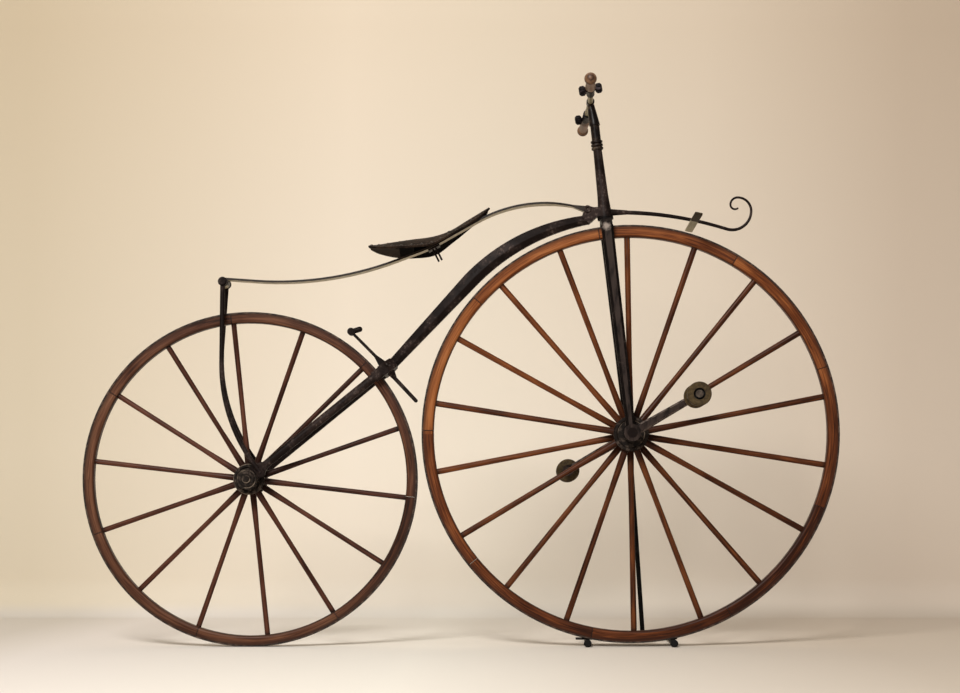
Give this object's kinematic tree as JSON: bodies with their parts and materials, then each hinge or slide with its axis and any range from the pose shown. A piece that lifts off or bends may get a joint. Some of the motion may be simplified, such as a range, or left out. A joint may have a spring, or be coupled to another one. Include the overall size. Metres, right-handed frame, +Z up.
{
  "type": "velocipede",
  "caption": "Antique pedal velocipede with wooden spoked wheels, a serpentine iron backbone, leaf-spring saddle, scroll leg rest and steered front fork, on a low display stand.",
  "frame": {"origin": "on the floor, half way between the back of the rear tyre and the front of the front tyre, in the machine's middle plane", "axes": "+X forward, towards the front wheel; +Y the rider's left; +Z up"},
  "size_m": [1.8099, 0.566, 1.3133],
  "materials": {
    "forged_iron": "forge-black wrought iron, worn grey on its edges",
    "tyre_iron": "dull iron band",
    "rim_wood": "oiled ash, bent felloes",
    "spoke_wood": "oiled ash, turned",
    "grip_wood": "turned hardwood",
    "bar_brass": "dull yellow metal",
    "pedal_bronze": "dull bronze",
    "saddle_leather": "old dark leather",
    "strip_metal": "dull plate",
    "stand_paint": "matt black",
    "stand_rubber": "black caps"
  },
  "bodies": {
    "fork": {"fork_crown": "forged_iron", "stem": "forged_iron", "handlebar": "bar_brass", "stand_rods": "stand_paint", "stand_caps": "stand_rubber", "stand_foot_plate": "stand_paint", "stand_bridge": "stand_paint", "stand_post": "stand_paint", "fork_leg_right": "forged_iron", "fork_leg_left": "forged_iron", "grip_right": "grip_wood", "grip_left": "grip_wood", "bar_clamp_right": "forged_iron", "bar_clamp_left": "forged_iron"},
    "frame": {"backbone": "forged_iron", "leg_rest_scroll": "forged_iron", "leg_rest_strip": "strip_metal", "brake_lever": "forged_iron", "spring": "forged_iron", "spring_bolt": "forged_iron", "saddle": "saddle_leather", "saddle_clip": "forged_iron", "spring_tail_bolt": "forged_iron", "rear_axle": "forged_iron", "rear_fork_leg_right": "forged_iron", "rear_fork_leg_left": "forged_iron", "rear_stay_right": "forged_iron", "rear_stay_left": "forged_iron", "rear_axle_cap_right": "forged_iron", "rear_axle_cap_left": "forged_iron"},
    "front_wheel": {"front_tyre": "tyre_iron", "front_felloes": "rim_wood", "front_spokes": "spoke_wood", "front_hub": "forged_iron", "front_axle": "forged_iron", "crank_right": "forged_iron", "crank_left": "forged_iron", "pedal_pin_right": "forged_iron", "pedal_pin_left": "forged_iron"},
    "rear_wheel": {"rear_tyre": "tyre_iron", "rear_felloes": "rim_wood", "rear_spokes": "spoke_wood", "rear_hub": "forged_iron"},
    "pedal_right": {"pedal_right": "pedal_bronze"},
    "pedal_left": {"pedal_left": "pedal_bronze"}
  },
  "joints": [
    {"name": "steering", "type": "hinge", "parent": "fork", "child": "frame", "pos_m": [0.405, 0, 0.50849], "axis": [-0.1149, 0, 0.9934], "range_deg": [-40, 40]},
    {"name": "front_wheel_spin", "type": "hinge", "parent": "fork", "child": "front_wheel", "pos_m": [0.405, 0, 0.50849], "axis": [0, 1, 0], "continuous": true},
    {"name": "rear_wheel_spin", "type": "hinge", "parent": "frame", "child": "rear_wheel", "pos_m": [-0.505, 0, 0.4], "axis": [0, 1, 0], "continuous": true},
    {"name": "pedal_right_spin", "type": "hinge", "parent": "front_wheel", "child": "pedal_right", "pos_m": [0.55222, -0.138, 0.59349], "axis": [0, 1, 0], "continuous": true},
    {"name": "pedal_left_spin", "type": "hinge", "parent": "front_wheel", "child": "pedal_left", "pos_m": [0.25778, 0.138, 0.42349], "axis": [0, 1, 0], "continuous": true}
  ]
}
